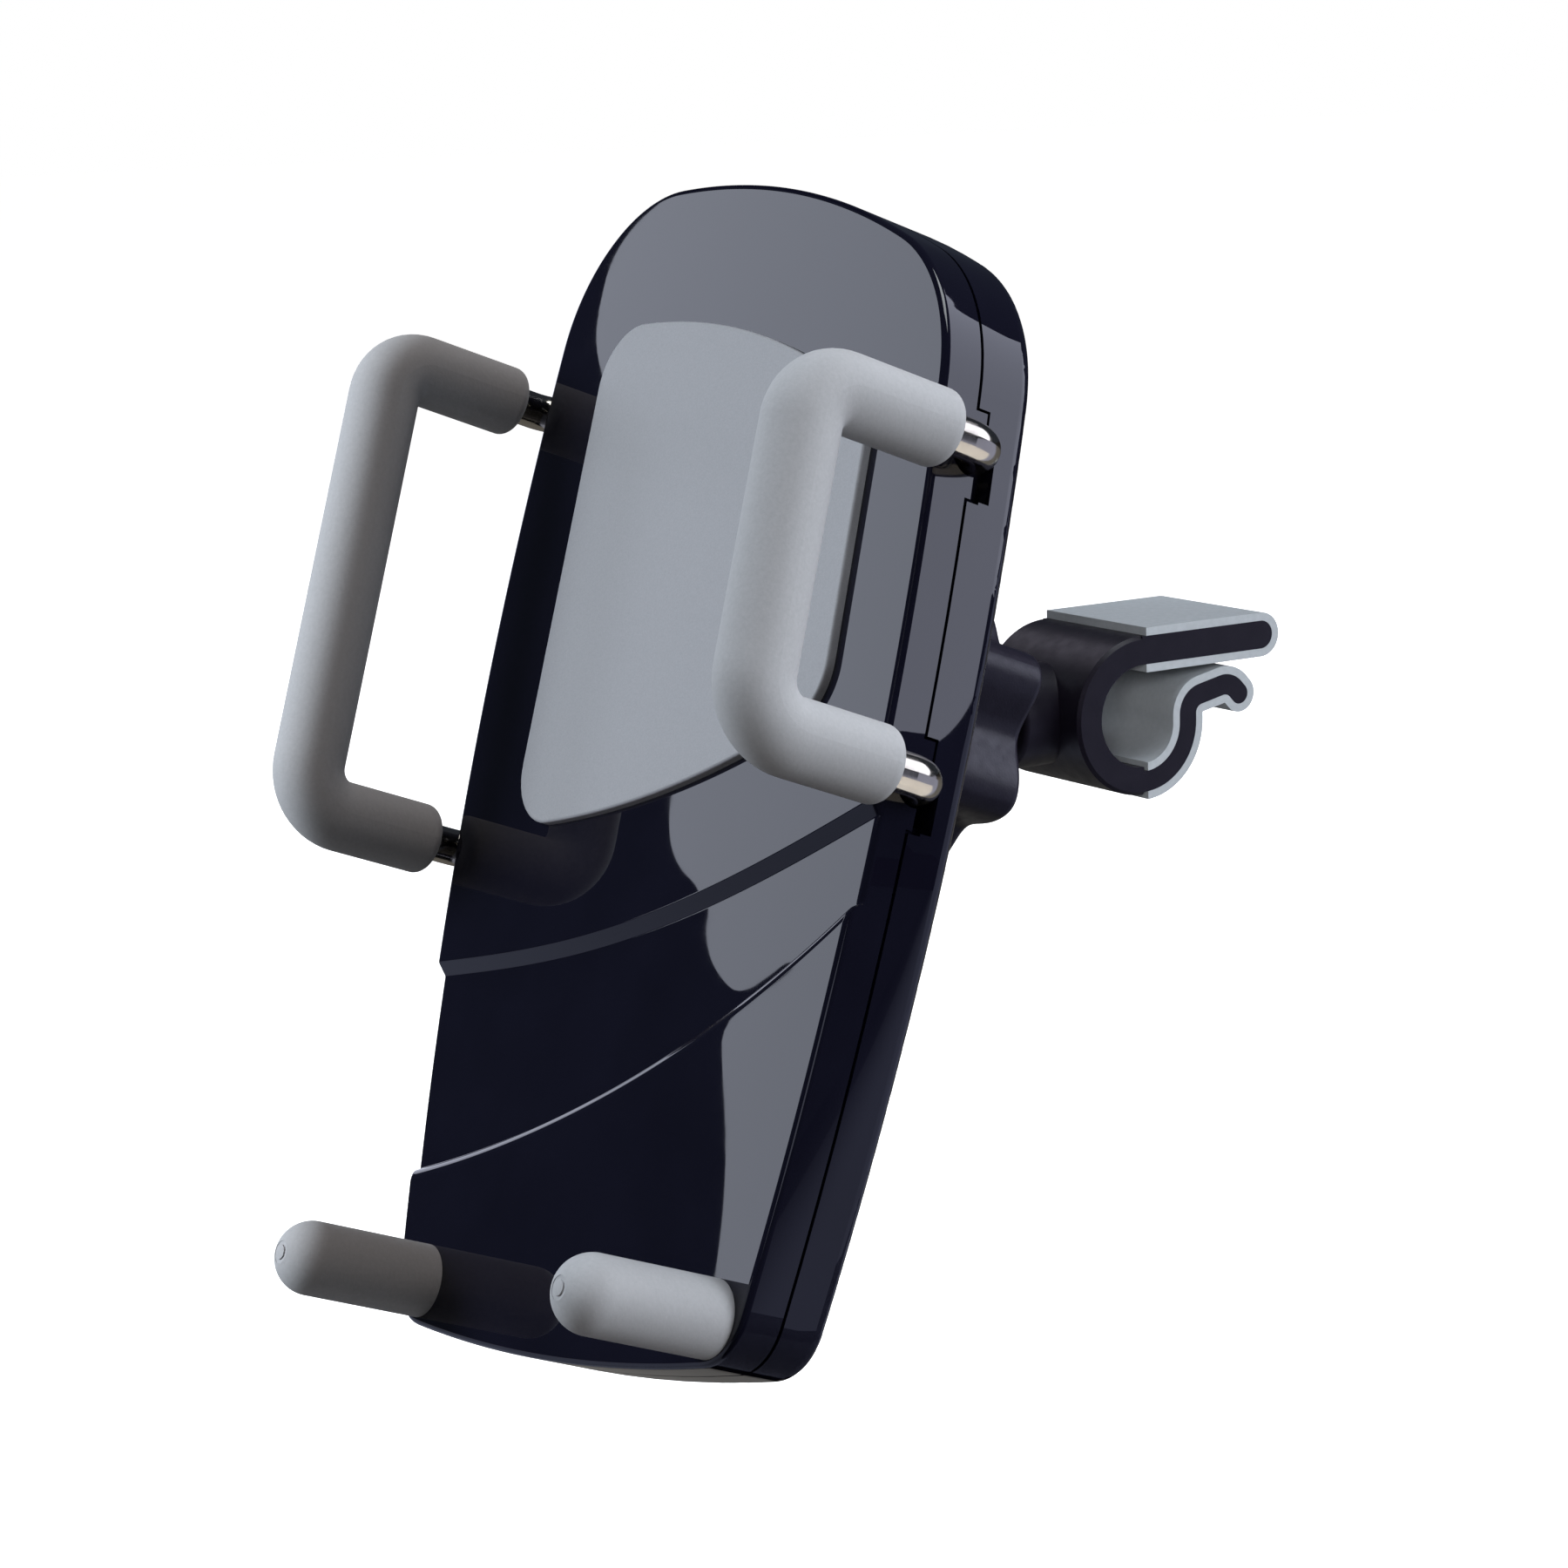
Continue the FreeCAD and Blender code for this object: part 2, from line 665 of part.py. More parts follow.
def offset_points(path, d):
    # The path's corners moved sideways by d
    moved = []
    for i in range(len(path)):
        y, z = path[i][0], path[i][1]
        a = path[i - 1] if i > 0 else None
        b = path[i + 1] if i < len(path) - 1 else None
        normals = []
        if a is not None:
            length = math.hypot(y - a[0], z - a[1])
            normals.append((-(z - a[1]) / length, (y - a[0]) / length))
        if b is not None:
            length = math.hypot(b[0] - y, b[1] - z)
            normals.append((-(b[1] - z) / length, (b[0] - y) / length))
        if len(normals) == 1:
            n = normals[0]
            moved.append((y + n[0] * d, z + n[1] * d))
        else:
            sy = normals[0][0] + normals[1][0]
            sz = normals[0][1] + normals[1][1]
            k = 2 * d / (sy * sy + sz * sz)
            moved.append((y + sy * k, z + sz * k))
    return moved


def band(path, d):
    # A strip of half thickness d along a path of (y, z, bend radius), with a round end
    upper = offset_points(path, d)
    lower = offset_points(path, -d)
    x = -clip_width / 2
    up_r = []
    low_r = []
    for i in range(1, len(path) - 1):
        ay, az = path[i][0] - path[i - 1][0], path[i][1] - path[i - 1][1]
        by, bz = path[i + 1][0] - path[i][0], path[i + 1][1] - path[i][1]
        turn = 1 if ay * bz - az * by > 0 else -1
        up_r.append(max(path[i][2] - turn * d, 0.05))
        low_r.append(max(path[i][2] + turn * d, 0.05))
    wu = rounded_path([V(x, p[0], p[1]) for p in upper], up_r)
    wl = rounded_path([V(x, p[0], p[1]) for p in lower], low_r)
    u0, u1 = upper[0], upper[-1]
    l0, l1 = lower[0], lower[-1]
    end = path[-1]
    back = path[-2]
    length = math.hypot(end[0] - back[0], end[1] - back[1])
    tip = V(x, end[0] + (end[0] - back[0]) / length * d, end[1] + (end[1] - back[1]) / length * d)
    cap = Part.Arc(V(x, u1[0], u1[1]), tip, V(x, l1[0], l1[1])).toShape()
    close = Part.LineSegment(V(x, l0[0], l0[1]), V(x, u0[0], u0[1])).toShape()
    edges = Part.sortEdges(wu.Edges + [cap] + wl.Edges + [close])[0]
    face = Part.Face(Part.Wire(edges))
    return face.extrude(V(clip_width, 0, 0))


jaw_mid_z = ring_r - jaw_t / 2
low_mid = ring_r - lower_jaw_t / 2 - 0.3
upper_path = [(0.0, jaw_mid_z), (jaw_length - jaw_t / 2, jaw_mid_z)]
lower_path = [(-0.5, -low_mid, 0), (lower_bulge, -low_mid, lower_bulge_r)]
lower_path += [(lower_bulge, hook_start_z, hook_bend), (hook_y, hook_z, hook_bend)]
lower_path += [(hook_tip_y, hook_tip_z, 0)]


def straight_band(path, d):
    x = -clip_width / 2
    y0, z = path[0][0], path[0][1]
    y1 = path[1][0]
    slab = box(x, -x, y0, y1, z - d, z + d)
    return slab.fuse(rod_along_x(y1, z, d, x, -x)).removeSplitter()


def at_ring(shape):
    shape.translate(V(0, ring_behind_ball, 0))
    return shape


def make_clip_body():
    x = clip_width / 2
    ring = rod_along_x(0, 0, ring_r, -x, x)
    ring = ring.makeChamfer(ring_chamfer, [e for e in ring.Edges if e.Closed])
    ring = ring.cut(rod_along_x(0, 0, ring_r - jaw_t, -x - 1, x + 1))
    lower = band(lower_path, lower_jaw_t / 2)
    # The ring stays open towards the jaws
    ring = ring.cut(box(-x - 1, x + 1, 0, ring_r + 1, -ring_r - 1, jaw_mid_z - jaw_t / 2))
    upper = straight_band(upper_path, jaw_t / 2)
    body = ring.fuse(upper).fuse(lower)
    hole = rod_along_y(0, 0, 2.22, -ring_r - 1, -ring_r + jaw_t * 0.6)
    hole = hole.fuse(rod_along_y(0, 0, screw_d / 2 + 0.1, -ring_r - 1, 0))
    hole = hole.fuse(rod_along_y(0, 0, screw_head_d / 2 + 0.05, -ring_r + jaw_t - 0.7, 0))
    return at_ring(body.cut(hole).removeSplitter())


def make_upper_pad():
    outer = straight_band(upper_path, jaw_t / 2 + strip_t)
    pad = outer.cut(straight_band(upper_path, jaw_t / 2))
    x = clip_width / 2
    return at_ring(pad.cut(box(-x - 1, x + 1, -1, strip_start, 0, ring_r + 2)))


def make_lower_pad():
    outer = band(lower_path, lower_jaw_t / 2 + strip_t)
    pad = outer.cut(band(lower_path, lower_jaw_t / 2))
    x = clip_width / 2
    ring = rod_along_x(0, 0, ring_r, -x, x).cut(rod_along_x(0, 0, ring_r - jaw_t, -x - 1, x + 1))
    ring = ring.cut(box(-x - 1, x + 1, 0, ring_r + 1, -ring_r - 1, ring_r))
    pad = pad.cut(ring)
    return at_ring(pad.cut(box(-x - 1, x + 1, -2, strip_start, -ring_r - 2, 0)))


def make_case_screws():
    screws = []
    for x, z in screw_places:
        top = back_at(z) - 0.3
        head = rod_along_y(x, z, screw_head_d / 2, top - screw_head_t, top)
        under = top - screw_head_t
        shank = rod_along_y(x, z, screw_d / 2 - 0.1, under - screw_length, under + 0.1)
        cross = box(x - 1.3, x + 1.3, top - 0.6, top + 1, z - 0.25, z + 0.25)
        cross = cross.fuse(box(x - 0.25, x + 0.25, top - 0.6, top + 1, z - 1.3, z + 1.3))
        screws.append(head.fuse(shank).cut(cross))
    return Part.makeCompound(screws)


def place_ball(shape):
    shape.translate(V(0, ball_y, ball_z))
    return shape


def lean_on_ball(shape):
    shape.rotate(V(0, 0, 0), V(0, 1, 0), -lean)
    shape.rotate(V(0, 0, 0), V(1, 0, 0), -tilt_back)
    return place_ball(shape)


def seat_cradle(shape):
    shape.translate(V(0, -ball_behind_face, ball_below_centre))
    return lean_on_ball(shape)


def main():
    os.makedirs("parts", exist_ok=True)
    cradle = {
        "front_shell": make_front_shell(),
        "rear_shell": make_rear_shell(),
        "front_pad": make_front_pad(),
        "case_screws": make_case_screws(),
        "left_foot": make_foot(-1),
        "right_foot": make_foot(1),
        "pinion": make_pinion(),
        "grip_spring": make_spring(),
        "pinion_axle": rod_along_y(0, -ball_below_centre, axle_d / 2, wall * 0.6, thickness + 3.0),
        "left_arm_rod": make_arm_rod(-1, left_rod_top, left_rod_bottom),
        "right_arm_rod": make_arm_rod(1, right_rod_top, right_rod_bottom),
        "left_sleeve": make_sleeve(-1, left_rod_top, left_rod_bottom),
        "right_sleeve": make_sleeve(1, right_rod_top, right_rod_bottom),
        "left_carriage": make_carriage(-1, left_rod_top, left_rod_bottom),
        "right_carriage": make_carriage(1, right_rod_top, right_rod_bottom),
    }
    on_ball = {
        "friction_cup": make_cup(),
        "slip_ring": make_slip_ring(),
        "ball_nut": make_nut(),
    }
    clip = {
        "ball_stud": make_ball_stud(),
        "stud_screw": make_stud_screw(),
        "clip_body": make_clip_body(),
        "upper_jaw_pad": make_upper_pad(),
        "lower_jaw_pad": make_lower_pad(),
    }
    nodes = []
    for name, shape in cradle.items():
        nodes.append((name, seat_cradle(shape)))
    for name, shape in on_ball.items():
        nodes.append((name, lean_on_ball(shape)))
    for name, shape in clip.items():
        nodes.append((name, place_ball(shape)))
    for name, shape in nodes:
        shape.exportStep("parts/" + name + ".step")
        print(name, len(shape.Solids), shape.isValid(), round(shape.Volume, 1))


main()
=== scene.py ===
# Air vent phone holder: the finishes of the CAD nodes, the front shell made
# anew with a finer mesh, and the studio around them.
import json
import math

import bmesh
import bpy
from mathutils import Matrix, Vector, geometry


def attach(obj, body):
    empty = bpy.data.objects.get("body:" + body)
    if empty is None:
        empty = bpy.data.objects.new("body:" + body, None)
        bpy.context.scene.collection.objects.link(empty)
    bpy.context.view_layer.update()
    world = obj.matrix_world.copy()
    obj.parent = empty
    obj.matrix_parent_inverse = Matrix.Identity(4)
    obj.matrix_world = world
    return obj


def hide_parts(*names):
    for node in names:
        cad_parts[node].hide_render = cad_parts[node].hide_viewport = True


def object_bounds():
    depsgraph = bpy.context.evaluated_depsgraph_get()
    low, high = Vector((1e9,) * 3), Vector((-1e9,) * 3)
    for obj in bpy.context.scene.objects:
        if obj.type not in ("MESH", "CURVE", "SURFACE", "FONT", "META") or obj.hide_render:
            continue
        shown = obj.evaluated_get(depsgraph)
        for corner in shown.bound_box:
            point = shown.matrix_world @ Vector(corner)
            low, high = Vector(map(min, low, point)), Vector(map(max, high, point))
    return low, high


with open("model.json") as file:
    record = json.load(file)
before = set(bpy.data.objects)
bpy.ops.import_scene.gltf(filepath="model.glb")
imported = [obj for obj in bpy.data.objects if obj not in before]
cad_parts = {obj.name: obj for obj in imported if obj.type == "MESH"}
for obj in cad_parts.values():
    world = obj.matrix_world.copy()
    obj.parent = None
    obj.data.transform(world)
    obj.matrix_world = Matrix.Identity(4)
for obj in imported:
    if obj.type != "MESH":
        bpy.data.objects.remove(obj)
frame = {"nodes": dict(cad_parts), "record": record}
cad_box = [list(v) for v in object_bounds()]
nodes = frame["nodes"]
MM = 0.001


def colour(r, g, b):
    return (r, g, b, 1.0)


def node(tree, kind, **values):
    """A new shader node with these values in its sockets; an underscore stands for a space."""
    n = tree.nodes.new("ShaderNode" + kind)
    for socket, value in values.items():
        n.inputs[socket.replace("_", " ")].default_value = value
    return n


# Finishes


class Finish:
    """A material's node tree, with short calls for what the finishes need. Sizes are in mm."""

    # A noise's values from which and up to which a colour or a roughness changes
    LOW, HIGH = 0.3, 0.7

    def __init__(self, name, ior, metallic):
        self.material = bpy.data.materials.new(name)
        self.material.use_nodes = True
        self.tree = self.material.node_tree
        self.shader = self.tree.nodes["Principled BSDF"]
        self.shader.inputs["IOR"].default_value = ior
        self.shader.inputs["Metallic"].default_value = metallic
        self.place = node(self.tree, "TexCoord")

    def link(self, a, b):
        self.tree.links.new(a, b)

    def noise(self, size, detail=2.0, rough=0.5):
        n = node(self.tree, "TexNoise", Scale=1.0 / (size * MM), Detail=detail, Roughness=rough)
        self.link(self.place.outputs["Object"], n.inputs["Vector"])
        return n.outputs["Fac"]

    def tint(self, fac, dark, light):
        n = node(self.tree, "ValToRGB")
        first, last = n.color_ramp.elements
        first.position, first.color = self.LOW, colour(*dark)
        last.position, last.color = self.HIGH, colour(*light)
        self.link(fac, n.inputs["Fac"])
        self.link(n.outputs["Color"], self.shader.inputs["Base Color"])

    def rough(self, fac, low, high):
        ends = {"From_Min": self.LOW, "From_Max": self.HIGH, "To_Min": low, "To_Max": high}
        n = node(self.tree, "MapRange", **ends)
        self.link(fac, n.inputs["Value"])
        self.link(n.outputs["Result"], self.shader.inputs["Roughness"])

    def grain(self, *layers):
        """Bumps on bumps. A layer is the grains' size, their height and their strength."""
        last = None
        for size, height, strength in layers:
            n = node(self.tree, "Bump", Strength=strength, Distance=height * MM)
            self.link(self.noise(size), n.inputs["Height"])
            if last:
                self.link(last, n.inputs["Normal"])
            last = n.outputs["Normal"]
        self.link(last, self.shader.inputs["Normal"])


def gloss_black(m):
    m.tint(m.noise(9), (0.0042, 0.0040, 0.0100), (0.0054, 0.0052, 0.0125))
    m.rough(m.noise(4, 4.0), 0.006, 0.016)


def satin_black(m):
    m.tint(m.noise(2, 4.0), (0.0056, 0.0044, 0.0085), (0.0074, 0.0060, 0.0110))
    m.rough(m.noise(1.2, 3.0), 0.36, 0.46)
    m.grain((0.25, 0.02, 0.25))


def nut_black(m):
    m.tint(m.noise(1.5, 4.0), (0.0090, 0.0075, 0.0145), (0.0120, 0.0100, 0.0185))
    m.rough(m.noise(0.8, 3.0), 0.30, 0.42)
    m.grain((0.22, 0.03, 0.35))


def silver_plate(m):
    m.tint(m.noise(0.15, 1.0), (0.380, 0.384, 0.408), (0.420, 0.425, 0.448))
    m.rough(m.noise(0.5, 2.0), 0.42, 0.52)
    m.grain((0.12, 0.004, 0.15))


def grey_rubber(m):
    m.tint(m.noise(0.35, 5.0, 0.7), (0.40, 0.405, 0.425), (0.45, 0.455, 0.475))
    m.rough(m.noise(0.6, 2.0), 0.72, 0.9)
    m.grain((0.32, 0.035, 0.4), (1.6, 0.03, 0.15))


def strip_rubber(m):
    m.tint(m.noise(0.5, 4.0), (0.345, 0.372, 0.400), (0.380, 0.407, 0.438))
    m.rough(m.noise(0.6, 2.0), 0.55, 0.7)
    m.grain((0.2, 0.015, 0.25))


def chrome(m):
    m.tint(m.noise(3), (0.52, 0.475, 0.40), (0.59, 0.545, 0.465))
    m.rough(m.noise(0.8, 3.0), 0.10, 0.18)
    m.grain((0.5, 0.003, 0.15))


def steel(m):
    m.tint(m.noise(1.5, 3.0), (0.40, 0.40, 0.41), (0.52, 0.52, 0.53))
    m.rough(m.noise(0.5, 3.0), 0.22, 0.36)
    m.grain((0.25, 0.008, 0.25))


def natural_nylon(m):
    m.tint(m.noise(2.5, 3.0), (0.56, 0.54, 0.48), (0.64, 0.62, 0.56))
    m.rough(m.noise(0.8, 2.0), 0.4, 0.55)
    m.grain((0.4, 0.015, 0.25))


finishes = {}
for make, ior, metallic in (
    (gloss_black, 1.5, 0.0),
    (satin_black, 1.37, 0.0),
    (nut_black, 1.43, 0.0),
    (silver_plate, 1.45, 0.15),
    (grey_rubber, 1.42, 0.0),
    (strip_rubber, 1.42, 0.0),
    (chrome, 1.5, 1.0),
    (steel, 1.5, 1.0),
    (natural_nylon, 1.5, 0.0),
):
    finish = Finish(make.__name__, ior, metallic)
    make(finish)
    finishes[make.__name__] = finish.material

slot_of = {s["node"]: s["material_slot"] for s in frame["record"]["subparts"]}


def dress(obj, slot):
    obj.data.materials.clear()
    obj.data.materials.append(finishes[slot])


for name, obj in nodes.items():
    dress(obj, slot_of[name])


# The front shell, in mm on the cradle's own axes: x right, y back from the
# face, z up. Its sizes follow the part's source, with a narrower seam.

TILT_BACK, LEAN = math.radians(21.5), math.radians(10.7)
CRADLE_TURN = Matrix.Rotation(-TILT_BACK, 3, "X") @ Matrix.Rotation(-LEAN, 3, "Y")
# The ball's centre in the row frame and on the cradle's axes
BALL_IN_ROW = Vector((0, -28.2, -3.8))
BALL_IN_CRADLE = Vector((0, 27.2, -12.6))

HALF_WIDTH = 32.2
SIDE_RADIUS, SIDE_APEX_Z = 275.0, -15.0
TOP_RADIUS, TOP_APEX_X, TOP_Z = 91.0, -20.0, 32.0
BOTTOM_RADIUS, BOTTOM_Z = 190.0, -73.9
CORNER_TOP_LEFT, CORNER_TOP_RIGHT, CORNER_BOTTOM = 15.0, 17.0, 5.2
WALL = 1.2
FACE_EDGE = 0.5
# How far back the inner side of the face lies
FACE_BACK = 1.25

# The shell's wall ends at the seam, and a step inside the groove reaches on
SEAM = 3.72
GROOVE_END = 4.025
GROOVE_DEPTH = 0.8

# Two waves cross the face, each given by its heights at the stops, which are
# shares of the waves' reach. Below the first one the face goes back over a
# sloped band to the valley's depth, and below the second one it comes out again
# in a rounded lip.
STOPS = (-1.0, -0.4, 0.2, 0.75, 1.0)
WAVE1 = (-40.2, -38.6, -34.9, -29.1, -26.0)
WAVE2 = (-59.9, -55.6, -48.6, -39.0, -33.2)
WAVE_REACH = HALF_WIDTH + 2.0
VALLEY = 0.9
BAND = 1.1
# How far the band's corners are eased, as a share of the band
SOFT = 0.1
LIP = 1.15
# The small hollow at the lip's foot
FOOT_REACH, FOOT_RISE = 0.3, 0.25

# Each rod's side and height. Above and below it, tongues of the side wall reach
# back past the seam, to the tongue's end and to the start of the rod's slot
RODS = ((-1, 13.5), (-1, -28.8), (1, 2.6), (1, -24.8))
ROD_Y = 3.9
BORE_RADIUS = 1.9
BORE_SPAN = (28.0, 35.0)
TONGUE = 3.7
TONGUE_DEPTH = 1.9
TONGUE_LAP = 0.1
TONGUE_END = 4.925
SLOT_START = 4.325

# How fine the mesh is
OUTLINE_STEP = 0.7
WAVE_STEP, WAVE_SPAN = 0.75, 33.5
EDGE_STEPS = 7
BORE_STEPS = 40
TONGUE_STEPS = 6
LIP_TURNS = [math.radians(a) for a in (0, 12, 25, 40, 55, 72, 90)]
# Narrow rows beside the rounded stretches, which keep the shading of the flats flat
EDGE_ROW, BAND_ROW, LIP_ROW = 0.06, 0.04, 0.05
SHARP = math.radians(32)
# Tolerances
MERGE = 1e-4
ON_EDGE = 1e-3
SAME_ANGLE = 1e-6


def in_row(p):
    """A point on the cradle's axes, in mm, as a point of the row frame, in metres."""
    return (CRADLE_TURN @ (Vector(p) - BALL_IN_CRADLE) + BALL_IN_ROW) * MM


def crossing(c1, r1, c2, r2, side):
    """Where two circles cross: of the two places, the one further to the given side."""
    dx, dz = c2[0] - c1[0], c2[1] - c1[1]
    d = math.hypot(dx, dz)
    a = (r1 * r1 - r2 * r2 + d * d) / (2 * d)
    h = math.sqrt(r1 * r1 - a * a)
    mid = (c1[0] + a * dx / d, c1[1] + a * dz / d)
    p = (mid[0] + h * dz / d, mid[1] - h * dx / d)
    q = (mid[0] - h * dz / d, mid[1] + h * dx / d)
    return max(p, q, key=lambda at: at[0] * side[0] + at[1] * side[1])


def angle(centre, p):
    return math.atan2(p[1] - centre[1], p[0] - centre[0])


def outline_arcs():
    """The housing's outline as arcs (centre, radius, start, end), clockwise from the top left."""
    left = ((SIDE_RADIUS - HALF_WIDTH, SIDE_APEX_Z), SIDE_RADIUS)
    right = ((HALF_WIDTH - SIDE_RADIUS, SIDE_APEX_Z), SIDE_RADIUS)
    top = ((TOP_APEX_X, TOP_Z - TOP_RADIUS), TOP_RADIUS)
    bottom = ((0.0, BOTTOM_Z + BOTTOM_RADIUS), BOTTOM_RADIUS)
    corners = (
        (left, top, CORNER_TOP_LEFT, (-1, 1)),
        (top, right, CORNER_TOP_RIGHT, (1, 1)),
        (right, bottom, CORNER_BOTTOM, (1, -1)),
        (bottom, left, CORNER_BOTTOM, (-1, -1)),
    )
    centres = [crossing(a[0], a[1] - r, b[0], b[1] - r, side) for a, b, r, side in corners]
    arcs = []
    for k, (a, b, r, _) in enumerate(corners):
        centre, after = centres[k], centres[(k + 1) % len(centres)]
        turn = angle(b[0], centre)
        arcs.append((centre, r, angle(a[0], centre), turn))
        arcs.append((b[0], b[1], turn, angle(b[0], after)))
    return [(c, r, start, clockwise(start, end)) for c, r, start, end in arcs]


def clockwise(start, end):
    """The end angle as it is reached clockwise from the start, within one turn."""
    while end > start:
        end -= 2 * math.pi
    while start - end > 2 * math.pi:
        end += 2 * math.pi
    return end


ARCS = outline_arcs()


def outline(inset):
    """Points on the housing's outline, moved in by the inset."""
    points = []
    for c, r, start, end in ARCS:
        n = max(3, int(abs(end - start) * r / OUTLINE_STEP))
        for i in range(n):
            a = start + (end - start) * i / n
            points.append((c[0] + (r - inset) * math.cos(a), c[1] + (r - inset) * math.sin(a)))
    return points


def from_edge(x, z):
    """How far a point lies in from the outline, and the outward direction there."""
    best = (math.inf, 0.0)
    for c, r, start, end in ARCS:
        a = angle(c, (x, z))
        while a > start + SAME_ANGLE:
            a -= 2 * math.pi
        while a < end - SAME_ANGLE:
            a += 2 * math.pi
        if a <= start + SAME_ANGLE:
            best = min(best, (r - math.hypot(x - c[0], z - c[1]), a))
    return best


def wave(x, heights):
    """The height at x of the smooth curve through the given heights at the stops."""
    u = x / WAVE_REACH
    z = 0.0
    for i, (ui, height) in enumerate(zip(STOPS, heights)):
        for j, uj in enumerate(STOPS):
            if i != j:
                height *= (u - uj) / (ui - uj)
        z += height
    return z


def wave1(x, t):
    """The first wave's height at x, or a line's in the band below it: t is 1 at the band's foot."""
    return wave(x, WAVE1) - BAND * t


def wave2(x, t):
    """The second wave's height at x, or that of a line t mm below it."""
    return wave(x, WAVE2) - t


def ramp(t):
    """0 above the first wave, 1 below its band, with both corners eased."""
    if t < -SOFT:
        return 0.0
    if t < SOFT:
        return (t + SOFT) ** 2 / (4 * SOFT)
    if t < 1 - SOFT:
        return t
    if t < 1 + SOFT:
        return 1 - (1 + SOFT - t) ** 2 / (4 * SOFT)
    return 1.0


def depth(x, z):
    """How far the face lies behind the plane y = 0."""
    t = wave2(x, 0) - z
    if t > LIP:
        d = 0.0
    elif t > 0:
        d = (VALLEY - FOOT_RISE) * (1 - math.sqrt(1 - (1 - t / LIP) ** 2))
    elif t > -FOOT_REACH:
        d = VALLEY - FOOT_RISE * (1 - math.sqrt(max(0.0, 1 - (t / FOOT_REACH + 1) ** 2)))
    else:
        d = VALLEY * ramp((wave1(x, 0) - z) / BAND)
    inset, _ = from_edge(x, z)
    if inset < FACE_EDGE:
        d += FACE_EDGE - math.sqrt(max(0.0, FACE_EDGE**2 - (FACE_EDGE - max(0.0, inset)) ** 2))
    return d


def face_lines():
    """The points and edges that the face's mesh follows: rings at the rim and rows on the waves."""
    coords, edges = [], []

    def add(points, closed=False):
        first, n = len(coords), len(points)
        coords.extend(Vector(p) for p in points)
        edges.extend((first + i, first + (i + 1) % n) for i in range(n if closed else n - 1))

    turns = [math.radians(90 * k / EDGE_STEPS) for k in range(EDGE_STEPS + 1)]
    for inset in [*(FACE_EDGE * (1 - math.cos(a)) for a in turns), FACE_EDGE + EDGE_ROW]:
        add(outline(inset), closed=True)
    xs = [-WAVE_SPAN + WAVE_STEP * i for i in range(int(2 * WAVE_SPAN / WAVE_STEP) + 1)]
    for t in (-SOFT - BAND_ROW, -SOFT, -SOFT / 2, 0, SOFT / 2, SOFT):
        add([(x, wave1(x, t)) for x in xs])
        add([(x, wave1(x, 1 - t)) for x in xs])
    lip = [LIP * (1 - math.cos(a)) for a in LIP_TURNS]
    foot = [-FOOT_REACH * (1 - math.sin(a)) for a in LIP_TURNS[:-1]]
    for t in [-FOOT_REACH - LIP_ROW, *foot, *lip, LIP + LIP_ROW]:
        add([(x, wave2(x, t)) for x in xs])
    return coords, edges


def face_mesh():
    coords, edges = face_lines()
    verts, _, faces, *_ = geometry.delaunay_2d_cdt(coords, edges, [], 1, MERGE)
    bm = bmesh.new()
    made = [bm.verts.new((v.x, depth(v.x, v.y), v.y)) for v in verts]
    for f in faces:
        middle = sum((verts[i] for i in f), Vector((0, 0))) / len(f)
        if from_edge(middle.x, middle.y)[0] > -ON_EDGE:
            bm.faces.new([made[i] for i in f])
    bmesh.ops.delete(bm, geom=[v for v in bm.verts if not v.link_faces], context="VERTS")
    return bm


def rim(bm):
    return [e for e in bm.edges if len(e.link_faces) == 1]


def step_out(bm, inset, y=None):
    """Draws the open rim on to this inset and depth, or straight back by a narrow row."""
    for v in bmesh.ops.extrude_edge_only(bm, edges=rim(bm))["geom"]:
        if isinstance(v, bmesh.types.BMVert):
            here, a = from_edge(v.co.x, v.co.z)
            shift = inset - here
            back = v.co.y + EDGE_ROW if y is None else y
            v.co = (v.co.x - shift * math.cos(a), back, v.co.z - shift * math.sin(a))


def block(bm, rings):
    """A closed block through rings of vertices."""
    for a, b in zip(rings, rings[1:]):
        for k in range(len(a)):
            after = (k + 1) % len(a)
            bm.faces.new((a[k], a[after], b[after], b[k]))
    bm.faces.new(rings[0])
    bm.faces.new(rings[-1][::-1])


def tongue(bm, side, low, high, end):
    """The side wall's reach past the seam, between two heights and back to the given end."""
    centre = (side * (HALF_WIDTH - SIDE_RADIUS), SIDE_APEX_Z)
    start = SEAM - TONGUE_LAP
    rings = []
    for i in range(TONGUE_STEPS + 1):
        z = low + (high - low) * i / TONGUE_STEPS
        a = math.asin((z - centre[1]) / SIDE_RADIUS)
        ring = []
        for inset, y in ((0.0, start), (0.0, end), (TONGUE_DEPTH, end), (TONGUE_DEPTH, start)):
            r = SIDE_RADIUS - inset
            x = centre[0] + side * r * math.cos(a)
            ring.append(bm.verts.new((x, y, centre[1] + r * math.sin(a))))
        rings.append(ring)
    block(bm, rings)


def new_object(name, data):
    o = bpy.data.objects.new(name, data)
    bpy.context.scene.collection.objects.link(o)
    return o


def from_bmesh(name, bm):
    mesh = bpy.data.meshes.new(name)
    bm.to_mesh(mesh)
    bm.free()
    return new_object(name, mesh)


